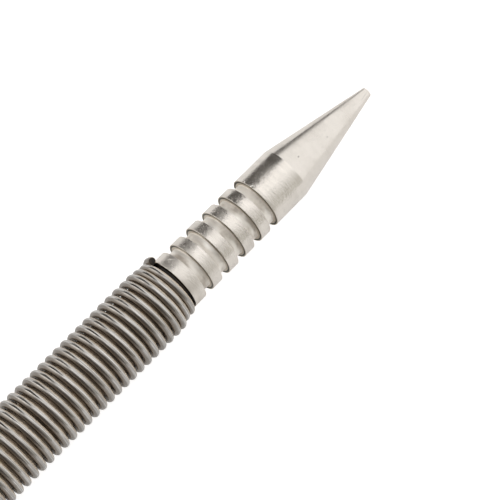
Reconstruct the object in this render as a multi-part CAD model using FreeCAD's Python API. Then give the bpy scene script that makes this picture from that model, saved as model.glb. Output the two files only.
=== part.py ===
import FreeCAD, Part
import math
import os

# Double-ended spring punch, in millimetres.  Two turned steel punches face each other
# inside one open-wound extension spring.  Pulling the rear punch back stretches the
# spring; on release its shank strikes the front punch's shank.
#
# Frame: +X along the tool towards the front tip, +Z up, and z = 0 is the surface the
# tool lies on.  The origin is below the middle of the tool's length.

# Turned bar, the same for both punches
bar_diameter = 9.5
cone_length = 19.75         # tip to the full bar diameter
collar_length = 6.95        # plain full-diameter band behind the cone
groove_count = 5            # grip grooves turned all round, one behind another
groove_width = 1.69
rib_width = 2.01            # land left between two grooves
last_rib_width = 2.36       # land before the spring seat
groove_depth = 0.85
edge_break = 0.08           # small bevel on every turned rim
seat_depth = 0.8            # wide groove that the spring's end coils grip
seat_slack = 0.1            # seat beyond the end coils
shank_relief = 0.25         # shank turned down by this much so that the coils slide over it
shank_length = 26.36        # spring seat to the striking face
strike_chamfer = 0.6        # bevel round the striking face
strike_gap = 0.02           # left between the two striking faces at rest

# Tips
front_tip_diameter = 1.8    # flat, blunt end
front_tip_bevel = 0.12
rear_tip_diameter = 2.0     # where the ground point meets the long cone
rear_point_angle = 60.0     # full angle of the ground point
rear_point_blunt = 0.1      # radius left at the very point, so that it doesn't crumble

# Spring
wire_diameter = 1.28
coil_clearance = 0.25       # open coils to the shank, radially
grip_clearance = 0.055      # reduced end coils to the seat, where they are nearest
open_gap = 0.36             # between open coils, held apart by the abutting shanks
closed_gap = 0.02           # between end coils, lying side by side
end_standoff = 0.28         # last groove land to the middle of the cut wire end
end_turns = 3.0             # turns that lie side by side over the seat
grip_turns = 1.0            # the first of them, reduced to grip it; the others widen again
run_out_turns = 1.0         # turns over which the coil then opens out to its full pitch
end_shift = 0.2             # end coils sit off the axis by this much
end_lift_turns = 0.38       # last part of the wire, springing up out of the seat
front_end_angle = 39.0      # where the front wire end stands, degrees from +Y towards +Z
points_per_turn = 16        # curve points along the wire

# Worked out from the sizes above
bar_radius = bar_diameter / 2
wire_radius = wire_diameter / 2
groove_pitch = groove_width + rib_width
open_pitch = wire_diameter + open_gap
closed_pitch = wire_diameter + closed_gap
seat_width = end_standoff + end_turns * closed_pitch + seat_slack
seat_start = cone_length + collar_length + groove_count * groove_pitch + last_rib_width - rib_width
punch_length = seat_start + seat_width + shank_length
seat_radius = bar_radius - seat_depth
shank_radius = bar_radius - shank_relief
coil_radius = shank_radius + coil_clearance + wire_radius                # middle of the wire
grip_radius = seat_radius + grip_clearance + end_shift + wire_radius
axis_height = coil_radius + wire_radius
tip_x = strike_gap / 2 + punch_length                                    # both tips, from the middle
seat_x = tip_x - seat_start                                              # last land's inner end


def turned(outline):
    """Solid of revolution about the tool's axis; outline is (x, radius) points."""
    points = [FreeCAD.Vector(x, 0, radius) for x, radius in outline]
    points.append(points[0])
    face = Part.Face(Part.makePolygon(points))
    solid = face.revolve(FreeCAD.Vector(0, 0, 0), FreeCAD.Vector(1, 0, 0), 360)
    solid.translate(FreeCAD.Vector(0, 0, axis_height))
    return solid


def groove_outline(start, width, floor_radius):
    """Outline points of one square groove, from its tip side to its other side."""
    end = start - width
    return [
        (start + edge_break, bar_radius),
        (start, bar_radius - edge_break),
        (start, floor_radius),
        (end, floor_radius),
        (end, bar_radius - edge_break),
        (end - edge_break, bar_radius),
    ]


def body_outline():
    """Outline behind the cone: collar, grip grooves, spring seat, shank, striking face."""
    outline = [(tip_x - cone_length, bar_radius)]
    for index in range(groove_count):
        start = tip_x - cone_length - collar_length - index * groove_pitch
        outline += groove_outline(start, groove_width, bar_radius - groove_depth)
    shank_start = seat_x - seat_width
    face_x = strike_gap / 2
    outline += [
        (seat_x + edge_break, bar_radius),
        (seat_x, bar_radius - edge_break),
        (seat_x, seat_radius),
        (shank_start, seat_radius),
        (shank_start, shank_radius - edge_break),
        (shank_start - edge_break, shank_radius),
        (face_x + strike_chamfer, shank_radius),
        (face_x, shank_radius - strike_chamfer),
        (face_x, 0),
    ]
    return outline


def front_punch():
    """Punch with the blunt, flat tip."""
    tip_radius = front_tip_diameter / 2
    slope = (bar_radius - tip_radius) / cone_length
    tip = [
        (tip_x, 0),
        (tip_x, tip_radius - front_tip_bevel),
        (tip_x - front_tip_bevel, tip_radius + front_tip_bevel * slope),
    ]
    return turned(tip + body_outline())


def rear_punch():
    """Punch with the ground point, facing the other way."""
    point_radius = rear_tip_diameter / 2
    point_length = (point_radius - rear_point_blunt) / math.tan(math.radians(rear_point_angle / 2))
    tip = [
        (tip_x, 0),
        (tip_x, rear_point_blunt),
        (tip_x - point_length, point_radius),
    ]
    solid = turned(tip + body_outline())
    solid.rotate(FreeCAD.Vector(0, 0, 0), FreeCAD.Vector(0, 0, 1), 180)
    return solid


def smooth(value):
    """Ease from 0 to 1 without a kink."""
    value = min(max(value, 0.0), 1.0)
    return value * value * (3 - 2 * value)


def wire_x(turns):
    """Distance of the wire from the middle of the tool, turns being counted from its end."""
    opening = min(max(turns - end_turns, 0.0), run_out_turns)
    travel = closed_pitch * min(turns, end_turns)
    travel += closed_pitch * opening + (open_pitch - closed_pitch) * opening ** 2 / (2 * run_out_turns)
    travel += open_pitch * max(turns - end_turns - run_out_turns, 0.0)
    return seat_x - end_standoff - travel


def wire_point(turns, end_angle, direction):
    """Point on the middle of the wire, turns being counted from one end.

    direction is -1 from the front end and +1 from the rear end: the coil is right-handed.
    """
    angle = math.radians(end_angle) + direction * 2 * math.pi * turns
    opened = smooth((turns - grip_turns) / (end_turns - grip_turns))
    lift = 1 - smooth(turns / end_lift_turns)
    radius = grip_radius + (coil_radius - grip_radius) * max(opened, lift)
    shift = end_shift * (1 - opened) * (1 - lift)
    shift_angle = math.radians(end_angle) + direction * math.radians(12)
    y = radius * math.cos(angle) + shift * math.cos(shift_angle)
    z = radius * math.sin(angle) + shift * math.sin(shift_angle)
    return FreeCAD.Vector(-direction * wire_x(turns), y, axis_height + z)


def spring():
    """Wire swept along the whole coil, with a square cut at each end."""
    half_turns = end_turns + run_out_turns
    half_turns += wire_x(half_turns) / open_pitch
    rear_end_angle = front_end_angle - 360 * 2 * half_turns
    steps = math.ceil(half_turns * points_per_turn)
    places = [half_turns * index / steps for index in range(steps + 1)]
    points = [wire_point(turns, front_end_angle, -1) for turns in places]
    points += [wire_point(turns, rear_end_angle, 1) for turns in reversed(places[:-1])]
    path = Part.BSplineCurve()
    path.interpolate(points)
    along = path.tangent(path.FirstParameter)[0]
    section = Part.Wire(Part.makeCircle(wire_radius, points[0], along))
    sweep = Part.BRepOffsetAPI.MakePipeShell(Part.Wire(path.toShape()))
    sweep.setFrenetMode(True)
    sweep.add(section)
    sweep.build()
    sweep.makeSolid()
    return Part.Solid(sweep.shape())


os.makedirs("parts", exist_ok=True)
for name, make in (("front_punch", front_punch), ("rear_punch", rear_punch), ("spring", spring)):
    shape = make()
    shape.exportStep("parts/" + name + ".step")
    box = shape.BoundBox
    print(name, "valid", shape.isValid(), "volume %.1f" % shape.Volume,
          "x %.3f %.3f  y %.3f %.3f  z %.3f %.3f"
          % (box.XMin, box.XMax, box.YMin, box.YMax, box.ZMin, box.ZMax))
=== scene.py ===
import math

import bmesh
import bpy
import numpy as np
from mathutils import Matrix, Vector


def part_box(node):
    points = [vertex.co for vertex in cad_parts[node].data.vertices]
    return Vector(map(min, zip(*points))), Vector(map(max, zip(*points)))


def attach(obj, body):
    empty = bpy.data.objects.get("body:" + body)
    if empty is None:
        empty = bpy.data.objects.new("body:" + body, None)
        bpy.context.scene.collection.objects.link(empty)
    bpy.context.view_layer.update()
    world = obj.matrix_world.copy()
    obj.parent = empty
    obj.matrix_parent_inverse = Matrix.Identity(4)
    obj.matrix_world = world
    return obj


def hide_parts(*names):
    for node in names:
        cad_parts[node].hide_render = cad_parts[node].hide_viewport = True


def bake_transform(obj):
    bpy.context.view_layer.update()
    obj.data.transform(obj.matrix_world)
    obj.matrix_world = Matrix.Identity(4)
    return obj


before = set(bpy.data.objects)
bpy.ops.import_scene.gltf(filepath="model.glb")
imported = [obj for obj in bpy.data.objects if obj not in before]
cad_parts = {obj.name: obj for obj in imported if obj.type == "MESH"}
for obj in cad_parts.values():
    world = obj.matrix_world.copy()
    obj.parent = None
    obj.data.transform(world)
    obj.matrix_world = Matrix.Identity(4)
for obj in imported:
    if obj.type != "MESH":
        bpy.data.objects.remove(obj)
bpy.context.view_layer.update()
print("frame loaded:", ", ".join(sorted(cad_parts)))

mm = 0.001
frontLow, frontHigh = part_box("front_punch")
tipX = frontHigh.x                          # both tips stand this far from the middle
axisZ = (frontLow.z + frontHigh.z) / 2      # height of the tool's axis
barRadius = (frontHigh.z - frontLow.z) / 2
sharpAngle = math.radians(50)               # edges that turn more than this stay crisp


# small helpers for node trees

def feed(tree, socket, value):
    if isinstance(value, bpy.types.NodeSocket):
        tree.links.new(value, socket)
    else:
        socket.default_value = value


def addNode(tree, kind, inputs=None, **settings):
    node = tree.nodes.new(kind)
    for name, value in settings.items():
        setattr(node, name, value)
    for name, value in (inputs or {}).items():
        feed(tree, node.inputs[name], value)
    return node


def maths(tree, operation, *values):
    node = addNode(tree, "ShaderNodeMath", operation=operation)
    for socket, value in zip(node.inputs, values):
        feed(tree, socket, value)
    return node.outputs[0]


def remap(tree, value, fromLow, fromHigh, toLow=0.0, toHigh=1.0):
    # eases value from one range into another; outside the first range it stays at the ends
    node = addNode(tree, "ShaderNodeMapRange", interpolation_type="SMOOTHSTEP")
    for socket, item in zip(node.inputs, (value, fromLow, fromHigh, toLow, toHigh)):
        feed(tree, socket, item)
    return node.outputs[0]


def mixColour(tree, factor, first, second, blend="MIX"):
    node = addNode(tree, "ShaderNodeMix", data_type="RGBA", blend_type=blend)
    feed(tree, node.inputs["Factor"], factor)
    feed(tree, node.inputs[6], first)
    feed(tree, node.inputs[7], second)
    return node.outputs[2]


def combine(tree, x, y, z):
    node = addNode(tree, "ShaderNodeCombineXYZ", {"X": x, "Y": y, "Z": z})
    return node.outputs[0]


def noise(tree, vector, scale, detail=2.0, roughness=0.5):
    node = addNode(tree, "ShaderNodeTexNoise", {
        "Vector": vector, "Scale": scale, "Detail": detail, "Roughness": roughness})
    return node.outputs["Fac"]


def newGroup(name, inputs, outputs):
    tree = bpy.data.node_groups.new(name, "ShaderNodeTree")
    for label, kind, value in inputs:
        socket = tree.interface.new_socket(name=label, in_out="INPUT", socket_type=kind)
        if value is not None:
            socket.default_value = value
    for label, kind in outputs:
        tree.interface.new_socket(name=label, in_out="OUTPUT", socket_type=kind)
    return tree, tree.nodes.new("NodeGroupInput"), tree.nodes.new("NodeGroupOutput")


def useGroup(tree, group, inputs):
    node = tree.nodes.new("ShaderNodeGroup")
    node.node_tree = group
    for name, value in inputs.items():
        feed(tree, node.inputs[name], value)
    return node


# shader effects that the steels share

def makeTurningMarks():
    # rings that a lathe tool leaves round the bar, broken up a little along each ring
    tree, start, end = newGroup(
        "turningMarks",
        [("Vector", "NodeSocketVector", None), ("Fineness", "NodeSocketFloat", 9000.0),
         ("Waviness", "NodeSocketFloat", 120.0)],
        [("Height", "NodeSocketFloat"), ("Shade", "NodeSocketFloat")])
    place = addNode(tree, "ShaderNodeSeparateXYZ", {"Vector": start.outputs["Vector"]})
    along = maths(tree, "MULTIPLY", place.outputs["X"], start.outputs["Fineness"])
    across = maths(tree, "MULTIPLY", place.outputs["Y"], start.outputs["Waviness"])
    upward = maths(tree, "MULTIPLY", place.outputs["Z"], start.outputs["Waviness"])
    fine = noise(tree, combine(tree, along, across, upward), 1.0, 3.0, 0.6)
    slowAlong = maths(tree, "MULTIPLY", along, 0.11)
    broad = noise(tree, combine(tree, slowAlong, across, upward), 1.0, 2.0, 0.5)
    feed(tree, end.inputs["Height"], maths(tree, "MULTIPLY_ADD", broad, 0.6, fine))
    feed(tree, end.inputs["Shade"], remap(tree, broad, 0.3, 0.7))
    return tree


def makeHandling():
    # scratches, faint smears and tiny pits from use
    tree, start, end = newGroup(
        "handling",
        [("Vector", "NodeSocketVector", None), ("Scratches", "NodeSocketFloat", 1.0),
         ("Pits", "NodeSocketFloat", 1.0)],
        [("Height", "NodeSocketFloat"), ("Smear", "NodeSocketFloat"), ("Mark", "NodeSocketFloat")])
    vector = start.outputs["Vector"]
    lines = None
    for turn, stretch in ((0.5, 900.0), (-0.9, 700.0), (1.35, 1100.0)):
        turned = addNode(tree, "ShaderNodeMapping", {
            "Vector": vector, "Rotation": (turn, turn * 0.7, turn * 0.4),
            "Scale": (stretch * 0.09, stretch * 2.4, stretch * 2.4)})
        field = noise(tree, turned.outputs[0], 1.0, 1.0, 0.4)
        line = remap(tree, field, 0.735, 0.775)
        lines = line if lines is None else maths(tree, "MAXIMUM", lines, line)
    lines = maths(tree, "MULTIPLY", lines, start.outputs["Scratches"])
    cells = addNode(tree, "ShaderNodeTexVoronoi", {"Vector": vector, "Scale": 620.0, "Randomness": 1.0})
    few = remap(tree, noise(tree, vector, 410.0, 0.0), 0.62, 0.72)
    pits = maths(tree, "MULTIPLY", remap(tree, cells.outputs["Distance"], 0.10, 0.20, 1.0, 0.0), few)
    pits = maths(tree, "MULTIPLY", pits, start.outputs["Pits"])
    smear = noise(tree, vector, 260.0, 4.0, 0.62)
    mark = maths(tree, "MAXIMUM", lines, pits)
    feed(tree, end.inputs["Height"], maths(tree, "MULTIPLY", mark, -1.0))
    feed(tree, end.inputs["Smear"], remap(tree, smear, 0.35, 0.68))
    feed(tree, end.inputs["Mark"], mark)
    return tree


def makeNick():
    # one short scratch or dent at a chosen place on the bar, given in unrolled distances
    tree, start, end = newGroup(
        "nick",
        [("Vector", "NodeSocketVector", None), ("Place", "NodeSocketFloat", 0.0),
         ("Angle", "NodeSocketFloat", 0.0), ("Length", "NodeSocketFloat", 0.001),
         ("Width", "NodeSocketFloat", 0.0001), ("Lean", "NodeSocketFloat", 0.0)],
        [("Mark", "NodeSocketFloat")])
    given = start.outputs
    place = addNode(tree, "ShaderNodeSeparateXYZ", {"Vector": given["Vector"]}).outputs
    along = maths(tree, "SUBTRACT", place["X"], given["Place"])
    angle = maths(tree, "ARCTAN2", place["Z"], place["Y"])
    around = maths(tree, "SUBTRACT", angle, maths(tree, "RADIANS", given["Angle"]))
    around = maths(tree, "MULTIPLY", maths(tree, "WRAP", around, math.pi, -math.pi), barRadius)
    lean = maths(tree, "RADIANS", given["Lean"])
    cosine, sine = maths(tree, "COSINE", lean), maths(tree, "SINE", lean)
    lengthwise = maths(tree, "MULTIPLY_ADD", along, cosine, maths(tree, "MULTIPLY", around, sine))
    sideways = maths(tree, "SUBTRACT", maths(tree, "MULTIPLY", around, cosine),
                     maths(tree, "MULTIPLY", along, sine))
    longMask = maths(tree, "DIVIDE", maths(tree, "ABSOLUTE", lengthwise), given["Length"])
    wideMask = maths(tree, "DIVIDE", maths(tree, "ABSOLUTE", sideways), given["Width"])
    longMask, wideMask = remap(tree, longMask, 0.5, 0.4), remap(tree, wideMask, 0.55, 0.2)
    mark = maths(tree, "MULTIPLY", longMask, wideMask)
    feed(tree, end.inputs["Mark"], mark)
    return tree


turningMarks = makeTurningMarks()
handling = makeHandling()
nick = makeNick()


def newMaterial(name):
    material = bpy.data.materials.new(name)
    material.use_nodes = True
    tree = material.node_tree
    tree.nodes.clear()
    output = tree.nodes.new("ShaderNodeOutputMaterial")
    shader = tree.nodes.new("ShaderNodeBsdfPrincipled")
    tree.links.new(shader.outputs[0], output.inputs["Surface"])
    return material, tree, shader


def axisVector(tree):
    # object coordinates, measured from the tool's axis
    place = addNode(tree, "ShaderNodeTexCoord")
    centred = addNode(tree, "ShaderNodeMapping", {
        "Vector": place.outputs["Object"], "Location": (0.0, 0.0, -axisZ)})
    return centred.outputs[0]


def radiusFromAxis(tree, vector):
    flat = addNode(tree, "ShaderNodeVectorMath", operation="MULTIPLY")
    feed(tree, flat.inputs[0], vector)
    flat.inputs[1].default_value = (0.0, 1.0, 1.0)
    length = addNode(tree, "ShaderNodeVectorMath", operation="LENGTH")
    feed(tree, length.inputs[0], flat.outputs["Vector"])
    return length.outputs["Value"]


def bump(tree, height, distance, strength=1.0, normal=None):
    node = addNode(tree, "ShaderNodeBump", {"Strength": strength, "Distance": distance, "Height": height})
    if normal is not None:
        feed(tree, node.inputs["Normal"], normal)
    return node.outputs[0]


# finishes of the turned bar

polish = {
    "colour": (0.745, 0.70, 0.645, 1.0),
    "smearColour": (0.70, 0.655, 0.60, 1.0),
    "markColour": (0.42, 0.39, 0.36, 1.0),
    "ringColour": (0.60, 0.56, 0.51, 1.0),
    "roughLow": 0.15,
    "roughHigh": 0.24,
    "landRough": 0.10,            # added on the lands, which are handled most
    "landsFrom": 27 * mm,         # behind the tip: where that roughness starts and is full
    "landsFull": 44 * mm,
    "smoothUpTo": 19 * mm,        # behind the tip: the cone is ground smoother than what follows
    "livelyFrom": 23 * mm,
    "fineRings": {"Fineness": 9000.0, "Waviness": 90.0},
    "coarseRings": {"Fineness": 3600.0, "Waviness": 260.0},
    "grain": (5200.0, 1500.0, 1500.0),
    "wear": {"Scratches": 0.2, "Pits": 0.0},
    "ringDepth": 0.0014 * mm,
    "grainDepth": 0.055 * mm,
    "markDepth": 0.012 * mm,
    "scratchColour": (0.90, 0.87, 0.82, 1.0),
    "nickDepth": 0.03 * mm,
    # single marks: distance behind the tip, angle round the bar from +Y towards +Z,
    # length, width, lean
    "scratches": [
        (43.87 * mm, 66.0, 1.4 * mm, 0.10 * mm, 63.0),
        (44.15 * mm, 63.0, 0.9 * mm, 0.08 * mm, 60.0),
        (26.45 * mm, 77.0, 0.5 * mm, 0.22 * mm, 20.0),
        (26.5 * mm, 57.5, 0.4 * mm, 0.20 * mm, -15.0),
        (37.2 * mm, 84.0, 0.7 * mm, 0.09 * mm, -40.0),
        (29.5 * mm, 140.0, 0.8 * mm, 0.07 * mm, 25.0),
    ],
    "dents": [
        (17.6 * mm, 101.0, 0.34 * mm, 0.26 * mm, 0.0),
        (11.4 * mm, 118.0, 0.22 * mm, 0.18 * mm, 0.0),
    ],
}


def nickMask(tree, vector, nicks):
    total = None
    for back, angle, length, width, lean in nicks:
        mark = useGroup(tree, nick, {"Vector": vector, "Place": tipX - back, "Angle": angle,
                                     "Length": length, "Width": width, "Lean": lean}).outputs["Mark"]
        total = mark if total is None else maths(tree, "MAXIMUM", total, mark)
    return total


def makePolishedSteel():
    material, tree, shader = newMaterial("polishedSteel")
    vector = axisVector(tree)
    rings = useGroup(tree, turningMarks, dict(polish["fineRings"], Vector=vector))
    wear = useGroup(tree, handling, dict(polish["wear"], Vector=vector))
    coarse = useGroup(tree, turningMarks, dict(polish["coarseRings"], Vector=vector))
    colour = mixColour(tree, wear.outputs["Smear"], polish["colour"], polish["smearColour"])
    along = addNode(tree, "ShaderNodeSeparateXYZ", {"Vector": vector}).outputs["X"]
    fromMiddle = maths(tree, "ABSOLUTE", along)
    behindCone = remap(tree, fromMiddle, tipX - polish["smoothUpTo"], tipX - polish["livelyFrom"])
    ringed = maths(tree, "MULTIPLY", coarse.outputs["Shade"], rings.outputs["Shade"])
    ringed = maths(tree, "MULTIPLY", ringed, maths(tree, "MULTIPLY_ADD", behindCone, 0.8, 0.2))
    colour = mixColour(tree, ringed, colour, polish["ringColour"])
    colour = mixColour(tree, wear.outputs["Mark"], colour, polish["markColour"])
    scratched = nickMask(tree, vector, polish["scratches"])
    dented = nickMask(tree, vector, polish["dents"])
    colour = mixColour(tree, scratched, colour, polish["scratchColour"])
    colour = mixColour(tree, dented, colour, polish["markColour"])
    rough = remap(tree, wear.outputs["Smear"], 0.0, 1.0, polish["roughLow"], polish["roughHigh"])
    rough = maths(tree, "MULTIPLY_ADD", rings.outputs["Shade"], 0.05, rough)
    onLands = remap(tree, fromMiddle, tipX - polish["landsFrom"], tipX - polish["landsFull"],
                    0.0, polish["landRough"])
    rough = maths(tree, "ADD", rough, onLands)
    rough = maths(tree, "MULTIPLY_ADD", scratched, 0.25, rough)
    normal = bump(tree, rings.outputs["Height"], polish["ringDepth"])
    grain = noise(tree, addNode(tree, "ShaderNodeMapping", {
        "Vector": vector, "Scale": polish["grain"]}).outputs[0], 1.0, 2.0, 0.6)
    grain = maths(tree, "MULTIPLY", grain, behindCone)
    normal = bump(tree, grain, polish["grainDepth"], normal=normal)
    normal = bump(tree, wear.outputs["Height"], polish["markDepth"], normal=normal)
    sunk = maths(tree, "MULTIPLY", maths(tree, "MAXIMUM", scratched, dented), -1.0)
    normal = bump(tree, sunk, polish["nickDepth"], normal=normal)
    feed(tree, shader.inputs["Base Color"], colour)
    feed(tree, shader.inputs["Roughness"], rough)
    feed(tree, shader.inputs["Normal"], normal)
    shader.inputs["Metallic"].default_value = 1.0
    return material


cutFinish = {
    "colour": (0.90, 0.86, 0.80, 1.0),
    "dirtColour": (0.55, 0.50, 0.44, 1.0),
    "wallColour": (0.66, 0.60, 0.52, 1.0),
    "wallShadeColour": (0.10, 0.10, 0.085, 1.0),
    "roughLow": 0.46,
    "roughHigh": 0.78,
    "ringDepth": 0.014 * mm,
    "rings": {"Fineness": 6500.0, "Waviness": 210.0},
    "wallShadeFrom": (0.10 * mm, 0.24 * mm),      # below the rim: a dark line of painted shade on each wall
    "wallShadeTo": (0.36 * mm, 0.55 * mm),
}


def makeCutSteel():
    # groove floors and walls, left rougher by the forming tool
    material, tree, shader = newMaterial("cutSteel")
    vector = axisVector(tree)
    rings = useGroup(tree, turningMarks, dict(cutFinish["rings"], Vector=vector))
    wear = useGroup(tree, handling, {"Vector": vector})
    dirt = maths(tree, "MULTIPLY", wear.outputs["Smear"], rings.outputs["Shade"])
    colour = mixColour(tree, dirt, cutFinish["colour"], cutFinish["dirtColour"])
    faceNormal = addNode(tree, "ShaderNodeNewGeometry").outputs["True Normal"]
    facing = addNode(tree, "ShaderNodeSeparateXYZ", {"Vector": faceNormal}).outputs["X"]
    wall = remap(tree, maths(tree, "ABSOLUTE", facing), 0.55, 0.9)
    depth = maths(tree, "SUBTRACT", barRadius, radiusFromAxis(tree, vector))
    begin, finish = cutFinish["wallShadeFrom"], cutFinish["wallShadeTo"]
    # painted shade: a dark line across the walls, between the two depths given in cutFinish
    line = maths(tree, "MULTIPLY", remap(tree, depth, begin[0], begin[1]),
                 remap(tree, depth, finish[1], finish[0]))
    wallColour = mixColour(tree, line, cutFinish["wallColour"], cutFinish["wallShadeColour"])
    colour = mixColour(tree, wall, colour, wallColour)
    rough = remap(tree, rings.outputs["Shade"], 0.0, 1.0, cutFinish["roughLow"], cutFinish["roughHigh"])
    normal = bump(tree, rings.outputs["Height"], cutFinish["ringDepth"])
    feed(tree, shader.inputs["Base Color"], colour)
    feed(tree, shader.inputs["Roughness"], rough)
    feed(tree, shader.inputs["Normal"], normal)
    shader.inputs["Metallic"].default_value = 1.0
    return material


oilFinish = {
    "colour": (0.24, 0.195, 0.15, 1.0),
    "brownColour": (0.46, 0.34, 0.23, 1.0),
    "rough": 0.42,
}
# near-black painted shade for the spring seat under the coils and the wire's cut faces
paintedShadeFinish = {
    "colour": (0.022, 0.019, 0.016, 1.0),
    "brownColour": (0.06, 0.045, 0.035, 1.0),
    "rough": 0.6,
}


def makeOiledSteel(name, finish):
    # bare steel, dark with old oil; with the near-black finish it is painted shade instead
    material, tree, shader = newMaterial(name)
    vector = axisVector(tree)
    wear = useGroup(tree, handling, {"Vector": vector})
    colour = mixColour(tree, wear.outputs["Smear"], finish["colour"], finish["brownColour"])
    feed(tree, shader.inputs["Base Color"], colour)
    feed(tree, shader.inputs["Normal"], bump(tree, wear.outputs["Smear"], 0.01 * mm))
    shader.inputs["Metallic"].default_value = 0.4
    shader.inputs["Roughness"].default_value = finish["rough"]
    return material


wireFinish = {
    "colour": (0.68, 0.66, 0.635, 1.0),
    "darkColour": (0.30, 0.285, 0.265, 1.0),
    "paintedShadeFlankColour": (0.24, 0.215, 0.19, 1.0),
    "tanColour": (0.74, 0.605, 0.455, 1.0),
    "roughLow": 0.12,
    "roughHigh": 0.25,
    "drawDepth": 0.004 * mm,
    "markDepth": 0.008 * mm,
    "drawing": (9000.0, 9000.0, 160.0),      # streaks: fine across the wire, long along it
    "wear": {"Scratches": 0.5, "Pits": 0.7},
    "filmAndShadeBegins": 0.64 * mm,                 # height on the wire, from its middle outwards
    "filmAndShadeFull": 0.38 * mm,
    "filmAndShadeRagged": 0.22 * mm,
    "paintedShadeLean": 0.55,                        # the dark painted shade reaches higher on the side away from the front
}


def makeSpringSteel():
    # drawn wire: streaks run along it and the crown stays bright; below the crown the flanks carry a brown film
    # towards the front and dark painted shade on the side away from it
    material, tree, shader = newMaterial("springSteel")
    vector = axisVector(tree)
    skin = addNode(tree, "ShaderNodeAttribute", attribute_name="skin").outputs["Vector"]
    streaks = noise(tree, addNode(tree, "ShaderNodeMapping", {
        "Vector": skin, "Scale": wireFinish["drawing"]}).outputs[0], 1.0, 3.0, 0.6)
    wear = useGroup(tree, handling, dict(wireFinish["wear"], Vector=vector))
    bright = remap(tree, streaks, 0.35, 0.7)
    colour = mixColour(tree, bright, wireFinish["darkColour"], wireFinish["colour"])
    across = addNode(tree, "ShaderNodeSeparateXYZ", {"Vector": skin}).outputs
    ragged = noise(tree, vector, 900.0, 3.0, 0.6)
    behind = maths(tree, "MINIMUM", across["X"], 0.0)
    crown = maths(tree, "MULTIPLY_ADD", behind, wireFinish["paintedShadeLean"], across["Y"])
    crown = maths(tree, "MULTIPLY_ADD", maths(tree, "SUBTRACT", ragged, 0.5), wireFinish["filmAndShadeRagged"], crown)
    filmAndShade = remap(tree, crown, wireFinish["filmAndShadeBegins"], wireFinish["filmAndShadeFull"])
    towardTip = remap(tree, across["X"], -0.05 * mm, 0.40 * mm)
    tan = maths(tree, "MULTIPLY", towardTip, remap(tree, ragged, 0.30, 0.55, 0.55, 1.0))
    # flanks away from the front take the dark painted shade, flanks towards it the tan film
    filmAndShadeColour = mixColour(tree, tan, wireFinish["paintedShadeFlankColour"], wireFinish["tanColour"])
    colour = mixColour(tree, filmAndShade, colour, filmAndShadeColour)
    rough = remap(tree, streaks, 0.3, 0.7, wireFinish["roughLow"], wireFinish["roughHigh"])
    rough = maths(tree, "MULTIPLY_ADD", filmAndShade, 0.12, rough)
    normal = bump(tree, streaks, wireFinish["drawDepth"])
    normal = bump(tree, wear.outputs["Height"], wireFinish["markDepth"], normal=normal)
    feed(tree, shader.inputs["Base Color"], colour)
    feed(tree, shader.inputs["Roughness"], rough)
    feed(tree, shader.inputs["Normal"], normal)
    dull = maths(tree, "MULTIPLY", filmAndShade, tan)
    feed(tree, shader.inputs["Metallic"], maths(tree, "MULTIPLY_ADD", dull, -0.8, 1.0))
    return material


polishedSteel = makePolishedSteel()
cutSteel = makeCutSteel()
oiledSteel = makeOiledSteel("oiledSteel", oilFinish)
paintedShadeSteel = makeOiledSteel("paintedShadeSteel", paintedShadeFinish)
springSteel = makeSpringSteel()
print("materials made")


# the two punches, turned from bar

punchSizes = {
    "tipRadius": 0.9 * mm,
    "tipBevel": 0.12 * mm,
    "coneLength": 19.75 * mm,
    "collarLength": 6.95 * mm,
    "grooves": 5,
    "grooveWidth": 1.69 * mm,
    "ribWidth": 2.01 * mm,
    "lastRibWidth": 2.36 * mm,     # land before the spring seat
    "grooveDepth": 0.85 * mm,
    "seatWidth": 4.28 * mm,
    "seatDepth": 0.8 * mm,
    "shankRelief": 0.25 * mm,
    "strikeChamfer": 0.6 * mm,
    "strikeGap": 0.01 * mm,
    "rimRound": 0.07 * mm,
    "floorRound": 0.12 * mm,
    "pointRadius": 1.0 * mm,       # rear punch only: where its ground point ends
    "pointBlunt": 0.1 * mm,
    "pointAngle": 60.0,
    "around": 256,
    "rowStep": 0.45 * mm,
}


def punchCorners(sizes, pointed):
    # corners of the half outline: distance behind the tip, radius, rounding, and which finish starts there
    polishedRun, cutRun, oiledRun, paintedShadeRun = 0, 1, 2, 3
    bar = barRadius
    if pointed:
        slope = math.tan(math.radians(sizes["pointAngle"] / 2))
        pointLength = (sizes["pointRadius"] - sizes["pointBlunt"]) / slope
        corners = [(0.0, 0.0, 0.0, polishedRun), (0.0, sizes["pointBlunt"], 0.03 * mm, polishedRun),
                   (pointLength, sizes["pointRadius"], 0.25 * mm, polishedRun)]
    else:
        corners = [(0.0, 0.0, 0.0, cutRun), (0.0, sizes["tipRadius"], sizes["tipBevel"], polishedRun)]
    corners.append((sizes["coneLength"], bar, 0.5 * mm, polishedRun))
    rim, floor = sizes["rimRound"], sizes["floorRound"]
    start = sizes["coneLength"] + sizes["collarLength"]
    for index in range(sizes["grooves"]):
        end = start + sizes["grooveWidth"]
        bottom = bar - sizes["grooveDepth"]
        corners += [(start, bar, rim, cutRun), (start, bottom, floor, cutRun),
                    (end, bottom, floor, cutRun), (end, bar, rim, polishedRun)]
        start = end + (sizes["ribWidth"] if index < sizes["grooves"] - 1 else sizes["lastRibWidth"])
    end = start + sizes["seatWidth"]
    shank = bar - sizes["shankRelief"]
    # the spring seat, under the end coils, takes the near-black painted shade
    corners += [(start, bar, rim, paintedShadeRun), (start, bar - sizes["seatDepth"], floor, paintedShadeRun),
                (end, bar - sizes["seatDepth"], floor, paintedShadeRun), (end, shank, rim, oiledRun)]
    face = tipX - sizes["strikeGap"]
    chamfer = sizes["strikeChamfer"]
    corners += [(face - chamfer, shank, 0.1 * mm, oiledRun), (face, shank - chamfer, 0.1 * mm, cutRun),
                (face, 0.0, 0.0, cutRun)]
    return corners


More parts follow.
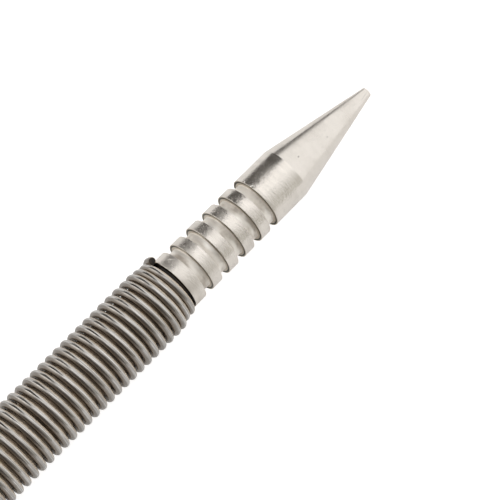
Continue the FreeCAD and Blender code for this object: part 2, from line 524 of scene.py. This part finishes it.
def roundedOutline(corners, step):
    # turns the corners into a fine outline with an arc at each rounded corner
    outline = []
    for index, (back, radius, rounding, finish) in enumerate(corners):
        here = Vector((back, radius))
        if rounding == 0.0:
            outline.append((here, finish))
            continue
        before = Vector(corners[index - 1][:2])
        after = Vector(corners[index + 1][:2])
        inward, outward = (before - here).normalized(), (after - here).normalized()
        opening = inward.angle(outward)
        reach = rounding / math.tan(opening / 2)
        reach = min(reach, (before - here).length * 0.45, (after - here).length * 0.45)
        entry, leave = here + inward * reach, here + outward * reach
        pieces = 5
        for part in range(pieces + 1):
            share = part / pieces
            curve = entry * (1 - share) ** 2 + here * 2 * share * (1 - share) + leave * share ** 2
            oldFinish = corners[index - 1][3]
            outline.append((curve, finish if share > 0.5 else oldFinish))
    fine = [outline[0]]
    for (lastPoint, lastFinish), (point, finish) in zip(outline, outline[1:]):
        parts = max(1, math.ceil((point - lastPoint).length / step))
        for part in range(1, parts + 1):
            fine.append((lastPoint.lerp(point, part / parts), finish if part == parts else lastFinish))
    return fine


def makePunch(name, slotName, side, pointed):
    sizes = punchSizes
    outline = roundedOutline(punchCorners(sizes, pointed), sizes["rowStep"])
    around = sizes["around"]
    mesh = bpy.data.meshes.new(name)
    piece = bpy.data.objects.new(name, mesh)
    bpy.context.scene.collection.objects.link(piece)
    shape = bmesh.new()
    rows = []
    for point, finish in outline:
        x = side * (tipX - point.x)
        if point.y < 1e-9:
            rows.append([shape.verts.new((x, 0.0, axisZ))])
            continue
        row = []
        for step in range(around):
            angle = 2 * math.pi * step / around
            row.append(shape.verts.new((x, point.y * math.cos(angle), axisZ + point.y * math.sin(angle))))
        rows.append(row)
    for index, (row, nextRow) in enumerate(zip(rows, rows[1:])):
        finish = outline[index][1]
        for step in range(around):
            after = (step + 1) % around
            if len(row) == 1:
                corners = (row[0], nextRow[step], nextRow[after])
            elif len(nextRow) == 1:
                corners = (row[step], nextRow[0], row[after])
            else:
                corners = (row[step], nextRow[step], nextRow[after], row[after])
            face = shape.faces.new(corners)
            face.material_index = finish
            face.smooth = True
    bmesh.ops.recalc_face_normals(shape, faces=shape.faces)
    shape.to_mesh(mesh)
    shape.free()
    for material in (polishedSteel, cutSteel, oiledSteel, paintedShadeSteel):
        mesh.materials.append(material)
    mesh.set_sharp_from_angle(angle=sharpAngle)
    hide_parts(slotName)
    print(name, "turned:", len(outline), "rows")
    return piece


frontPunch = makePunch("frontPunch", "front_punch", 1, pointed=False)
rearPunch = makePunch("rearPunch", "rear_punch", -1, pointed=True)
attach(frontPunch, "front")
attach(rearPunch, "rear")


# the spring: a wire that follows a coil rule, built as a node tree

springSizes = {
    "Wire Radius": 0.64 * mm,
    "Coil Radius": 5.39 * mm,      # middle of the wire, open coils
    "Grip Radius": 4.845 * mm,     # middle of the wire, where the end coils grip the seats
    "Open Pitch": 1.64 * mm,
    "Closed Pitch": 1.3 * mm,
    "Grip Turns": 1.0,
    "End Turns": 3.0,              # turns that lie side by side over the seat
    "Run Out Turns": 1.0,
    "End Shift": 0.2 * mm,
    "Lift Turns": 0.38,
    "Front End X": 30.37 * mm,
    "Front End Angle": 39.0,
    "Axis Height": axisZ,
    "Wander": 0.02 * mm,
    "Seed": 4.0,
    "Steps Per Turn": 56,
    "Wire Sides": 20,
}


wireEndRounding = 0.06 * mm
leanBy = math.radians(12)          # the shifted end coils lean this far past the wire's end


def halfTurns(sizes):
    endPart = sizes["End Turns"] + sizes["Run Out Turns"]
    meanPitch = (sizes["Open Pitch"] + sizes["Closed Pitch"]) / 2
    left = sizes["Front End X"] - sizes["Closed Pitch"] * sizes["End Turns"] - meanPitch * sizes["Run Out Turns"]
    return endPart + left / sizes["Open Pitch"]


def makeCoilTree():
    tree = bpy.data.node_groups.new("coilWire", "GeometryNodeTree")
    tree.interface.new_socket(name="Geometry", in_out="OUTPUT", socket_type="NodeSocketGeometry")
    tree.interface.new_socket(name="Turns", in_out="INPUT", socket_type="NodeSocketFloat")
    for label in springSizes:
        kind = "NodeSocketInt" if label in ("Steps Per Turn", "Wire Sides") else "NodeSocketFloat"
        tree.interface.new_socket(name=label, in_out="INPUT", socket_type=kind)
    tree.interface.new_socket(name="Material", in_out="INPUT", socket_type="NodeSocketMaterial")
    given = tree.nodes.new("NodeGroupInput").outputs
    end = tree.nodes.new("NodeGroupOutput")

    def do(operation, *values):
        return maths(tree, operation, *values)

    # turns are counted from the front end; nearTurns from whichever end is nearer
    steps = do("ROUND", do("MULTIPLY", given["Turns"], given["Steps Per Turn"]))
    line = addNode(tree, "GeometryNodeMeshLine", {"Count": do("ADD", steps, 1.0)})
    index = addNode(tree, "GeometryNodeInputIndex").outputs[0]
    turns = do("MULTIPLY", do("DIVIDE", index, steps), given["Turns"])
    nearTurns = do("MINIMUM", turns, do("SUBTRACT", given["Turns"], turns))

    closedTravel = do("MULTIPLY", do("MINIMUM", nearTurns, given["End Turns"]), given["Closed Pitch"])
    past = do("MAXIMUM", do("SUBTRACT", nearTurns, given["End Turns"]), 0.0)
    opening = do("MINIMUM", past, given["Run Out Turns"])
    gain = do("SUBTRACT", given["Open Pitch"], given["Closed Pitch"])
    gain = do("DIVIDE", gain, do("MULTIPLY", given["Run Out Turns"], 2.0))
    openingTravel = do("MULTIPLY_ADD", do("MULTIPLY", opening, opening), gain,
                       do("MULTIPLY", opening, given["Closed Pitch"]))
    openTravel = do("MULTIPLY", do("SUBTRACT", past, opening), given["Open Pitch"])
    travel = do("ADD", do("ADD", closedTravel, openingTravel), openTravel)
    half = do("MULTIPLY", given["Turns"], 0.5)
    x = do("MULTIPLY", do("SUBTRACT", given["Front End X"], travel), do("SIGN", do("SUBTRACT", half, turns)))

    opened = remap(tree, nearTurns, given["Grip Turns"], given["End Turns"])
    lift = remap(tree, nearTurns, 0.0, given["Lift Turns"], 1.0, 0.0)
    grow = do("MULTIPLY", do("SUBTRACT", given["Coil Radius"], given["Grip Radius"]), do("MAXIMUM", opened, lift))
    radius = do("ADD", given["Grip Radius"], grow)
    settled = do("MULTIPLY", do("SUBTRACT", 1.0, opened), do("SUBTRACT", 1.0, lift))
    shift = do("MULTIPLY", given["End Shift"], settled)
    frontAngle = do("RADIANS", given["Front End Angle"])
    angle = do("SUBTRACT", frontAngle, do("MULTIPLY", turns, 2 * math.pi))
    isRear = do("GREATER_THAN", turns, half)
    rearAngle = do("SUBTRACT", frontAngle, do("MULTIPLY", given["Turns"], 2 * math.pi))
    leanAngle = addNode(tree, "ShaderNodeMix", data_type="FLOAT")
    feed(tree, leanAngle.inputs[0], isRear)
    feed(tree, leanAngle.inputs[2], do("SUBTRACT", frontAngle, leanBy))
    feed(tree, leanAngle.inputs[3], do("ADD", rearAngle, leanBy))
    leanAngle = leanAngle.outputs[0]

    # a real coil is never quite even
    drift = addNode(tree, "ShaderNodeTexNoise", {"W": do("ADD", do("MULTIPLY", turns, 0.9), given["Seed"]),
                                                 "Scale": 1.0, "Detail": 1.0}, noise_dimensions="1D")
    wander = do("MULTIPLY", do("SUBTRACT", drift.outputs["Fac"], 0.5), given["Wander"])
    x = do("ADD", x, do("MULTIPLY", do("MULTIPLY", wander, 3.0), do("MINIMUM", past, 1.0)))
    radius = do("SUBTRACT", radius, do("ABSOLUTE", do("MULTIPLY", wander, 0.5)))
    y = do("MULTIPLY_ADD", radius, do("COSINE", angle), do("MULTIPLY", shift, do("COSINE", leanAngle)))
    z = do("MULTIPLY_ADD", radius, do("SINE", angle), do("MULTIPLY", shift, do("SINE", leanAngle)))
    z = do("ADD", z, given["Axis Height"])
    placed = addNode(tree, "GeometryNodeSetPosition", {
        "Geometry": line.outputs[0], "Position": combine(tree, x, y, z)})
    counted = addNode(tree, "GeometryNodeStoreNamedAttribute", {
        "Geometry": placed.outputs[0], "Name": "turns", "Value": turns}, data_type="FLOAT", domain="POINT")
    path = addNode(tree, "GeometryNodeMeshToCurve", {"Mesh": counted.outputs[0]})
    along = addNode(tree, "GeometryNodeSplineParameter").outputs["Length"]
    measured = addNode(tree, "GeometryNodeStoreNamedAttribute", {
        "Geometry": path.outputs[0], "Name": "along", "Value": along}, data_type="FLOAT", domain="POINT")
    section = addNode(tree, "GeometryNodeCurvePrimitiveCircle", {
        "Resolution": given["Wire Sides"], "Radius": given["Wire Radius"]})
    wire = addNode(tree, "GeometryNodeCurveToMesh", {
        "Curve": measured.outputs[0], "Profile Curve": section.outputs[0], "Fill Caps": True})
    smooth = addNode(tree, "GeometryNodeSetShadeSmooth", {"Geometry": wire.outputs[0]})
    solid = addNode(tree, "GeometryNodeRealizeInstances", {"Geometry": smooth.outputs[0]})
    dressed = addNode(tree, "GeometryNodeSetMaterial", {
        "Geometry": solid.outputs[0], "Material": given["Material"]})
    feed(tree, end.inputs[0], dressed.outputs[0])
    return tree


def bakeNodes(name, tree, values):
    # evaluates the tree once and keeps the result as a plain mesh
    holder = bpy.data.objects.new(name + "Source", bpy.data.meshes.new(name + "Source"))
    bpy.context.scene.collection.objects.link(holder)
    modifier = holder.modifiers.new("nodes", "NODES")
    modifier.node_group = tree
    for item in tree.interface.items_tree:
        if item.in_out == "INPUT" and item.name in values:
            modifier[item.identifier] = values[item.name]
    depsgraph = bpy.context.evaluated_depsgraph_get()
    mesh = bpy.data.meshes.new_from_object(holder.evaluated_get(depsgraph))
    mesh.name = name
    bpy.data.objects.remove(holder)
    piece = bpy.data.objects.new(name, mesh)
    bpy.context.scene.collection.objects.link(piece)
    return piece


def trimWireEnds(piece):
    # softens the two cut faces of the wire and gives them the near-black painted shade
    shape = bmesh.new()
    shape.from_mesh(piece.data)
    caps = [face for face in shape.faces if len(face.verts) > 4]
    edges = list({edge for face in caps for edge in face.edges})
    bmesh.ops.bevel(shape, geom=edges, offset=wireEndRounding, segments=2, profile=0.6, affect="EDGES")
    for face in shape.faces:
        if len(face.verts) > 4:
            face.material_index = 1
    bmesh.ops.recalc_face_normals(shape, faces=shape.faces)
    shape.to_mesh(piece.data)
    shape.free()
    piece.data.materials.append(paintedShadeSteel)


def storeSkin(piece):
    # for each point: which way it faces across the wire, and how far along the wire it is
    mesh = piece.data
    count = len(mesh.vertices)
    place = np.empty(count * 3)
    mesh.vertices.foreach_get("co", place)
    place = place.reshape(-1, 3)
    turns = np.empty(count)
    mesh.attributes["turns"].data.foreach_get("value", turns)
    along = np.empty(count)
    mesh.attributes["along"].data.foreach_get("value", along)
    order = np.argsort(turns, kind="stable")
    unique, start = np.unique(np.round(turns[order], 5), return_index=True)
    centre = np.empty((count, 3))
    for first, last in zip(start, list(start[1:]) + [count]):
        ring = order[first:last]
        centre[ring] = place[ring].mean(axis=0)
    offset = place - centre
    radial = centre - np.array([0.0, 0.0, axisZ])
    radial[:, 0] = 0.0
    radial /= np.linalg.norm(radial, axis=1)[:, None]
    outward = (offset * radial).sum(axis=1)
    skin = np.stack([offset[:, 0], outward, along], axis=1).astype(np.float32)
    mesh.attributes.new("skin", "FLOAT_VECTOR", "POINT").data.foreach_set("vector", skin.ravel())
    return turns


def makeSpring():
    sizes = springSizes
    total = 2 * halfTurns(sizes)
    values = dict(sizes, Turns=total, Material=springSteel)
    piece = bakeNodes("springCoil", makeCoilTree(), values)
    trimWireEnds(piece)
    turns = storeSkin(piece)
    piece.data.set_sharp_from_angle(angle=sharpAngle)
    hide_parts("spring")
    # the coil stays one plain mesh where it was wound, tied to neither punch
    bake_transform(piece)
    print("spring wound:", round(total, 2), "turns,", len(piece.data.polygons), "faces")
    return piece


springCoil = makeSpring()


# floor, light and camera

floorLook = {
    "size": 1.6,
    "colour": (0.82, 0.82, 0.82, 1.0),
    "grainColour": (0.84, 0.84, 0.84, 1.0),
    "bounce": 0.26,           # glow that the steel sees
    "lift": 0.45,             # more of it, where the camera sees the floor
}


def makeFloor():
    material, tree, shader = newMaterial("paleFloor")
    grain = noise(tree, addNode(tree, "ShaderNodeTexCoord").outputs["Object"], 300.0, 2.0)
    tone = mixColour(tree, grain, floorLook["colour"], floorLook["grainColour"])
    direct = addNode(tree, "ShaderNodeLightPath").outputs["Is Camera Ray"]
    feed(tree, shader.inputs["Base Color"], tone)
    glow = maths(tree, "MULTIPLY_ADD", direct, floorLook["lift"], floorLook["bounce"])
    feed(tree, shader.inputs["Emission Strength"], glow)
    shader.inputs["Roughness"].default_value = 0.9
    shader.inputs["Specular IOR Level"].default_value = 0.0
    shader.inputs["Emission Color"].default_value = (1.0, 1.0, 1.0, 1.0)
    half = floorLook["size"] / 2
    mesh = bpy.data.meshes.new("floor")
    corners = [(-half, -half, 0), (half, -half, 0), (half, half, 0), (-half, half, 0)]
    mesh.from_pydata(corners, [], [(0, 1, 2, 3)])
    floor = bpy.data.objects.new("floor", mesh)
    bpy.context.scene.collection.objects.link(floor)
    mesh.materials.append(material)
    return floor


# each card covers a patch of the surroundings; azimuth from +X towards +Y, degrees
studio = {
    "low": (1.12, 1.12, 1.12, 1.0),
    "high": (1.34, 1.34, 1.34, 1.0),
    "brightens": (52.0, 72.0),       # elevations between which low turns into high
    "bottomSoft": 3.0,
    "cards": [
        {"azimuth": 72.0, "wide": 40.0, "side": 6.0, "bottom": -8.0, "top": 60.0, "soft": 22.0,
         "colour": (0.11, 0.105, 0.10, 1.0)},
        {"azimuth": 112.0, "wide": 34.0, "side": 8.0, "bottom": 2.0, "top": 44.0, "soft": 12.0,
         "colour": (1.9, 1.87, 1.82, 1.0)},
        {"azimuth": -122.0, "wide": 118.0, "side": 24.0, "bottom": -20.0, "top": 58.0, "soft": 60.0,
         "colour": (0.60, 0.59, 0.55, 1.0)},
        {"azimuth": -160.0, "wide": 108.0, "side": 24.0, "bottom": -12.0, "top": 70.0, "soft": 20.0,
         "colour": (0.20, 0.185, 0.175, 1.0)},
    ],
}


def makeStudio():
    world = bpy.data.worlds.new("studio")
    bpy.context.scene.world = world
    world.use_nodes = True
    tree = world.node_tree
    tree.nodes.clear()
    toward = addNode(tree, "ShaderNodeTexCoord").outputs["Generated"]
    parts = addNode(tree, "ShaderNodeSeparateXYZ", {"Vector": toward}).outputs
    elevation = maths(tree, "DEGREES", maths(tree, "ARCSINE", parts["Z"]))
    azimuth = maths(tree, "DEGREES", maths(tree, "ARCTAN2", parts["Y"], parts["X"]))
    overhead = remap(tree, elevation, *studio["brightens"])
    colour = mixColour(tree, overhead, studio["low"], studio["high"])
    for card in studio["cards"]:
        turned = maths(tree, "SUBTRACT", azimuth, card["azimuth"])
        across = maths(tree, "ABSOLUTE", maths(tree, "WRAP", turned, 180.0, -180.0))
        edge, side, soft = card["wide"] / 2, card["side"] / 2, card["soft"] / 2
        inWidth = remap(tree, across, edge - side, edge + side, 1.0, 0.0)
        under = remap(tree, elevation, card["top"] - soft, card["top"] + soft, 1.0, 0.0)
        over = remap(tree, elevation, card["bottom"] - studio["bottomSoft"], card["bottom"] + studio["bottomSoft"])
        mask = maths(tree, "MULTIPLY", maths(tree, "MULTIPLY", inWidth, under), over)
        colour = mixColour(tree, mask, colour, card["colour"])
    background = addNode(tree, "ShaderNodeBackground", {"Color": colour, "Strength": 1.0})
    output = tree.nodes.new("ShaderNodeOutputWorld")
    tree.links.new(background.outputs[0], output.inputs["Surface"])


cameraSet = {
    "turn": 47.47,            # the tool's direction, from the camera's right, degrees
    "elevation": 67.7,
    "distance": 0.327,
    "frameWidth": 0.07876,    # width seen at that distance
    "behindTip": 0.0328,      # point of the axis beside the middle of the frame
    "aside": 0.0046,          # from the axis to the middle of the frame, towards the lower right
}


def makeCamera():
    turn, rise = math.radians(cameraSet["turn"]), math.radians(cameraSet["elevation"])
    right = Vector((math.cos(turn), -math.sin(turn), 0.0))
    away = Vector((math.sin(turn), math.cos(turn), 0.0))
    toCamera = Vector((0, 0, math.sin(rise))) - away * math.cos(rise)
    up = toCamera.cross(right)
    target = Vector((tipX - cameraSet["behindTip"], 0.0, axisZ))
    target += (right - up).normalized() * cameraSet["aside"]
    lens = bpy.data.cameras.new("camera")
    lens.sensor_width = 36.0
    lens.lens = 36.0 * cameraSet["distance"] / cameraSet["frameWidth"]
    lens.clip_start = 0.01
    camera = bpy.data.objects.new("camera", lens)
    bpy.context.scene.collection.objects.link(camera)
    camera.location = target + toCamera * cameraSet["distance"]
    camera.rotation_euler = toCamera.to_track_quat("Z", "Y").to_euler()
    bpy.context.scene.camera = camera


makeFloor()
makeStudio()
makeCamera()
bpy.context.scene.view_settings.view_transform = "Standard"
print("floor, light and camera placed")
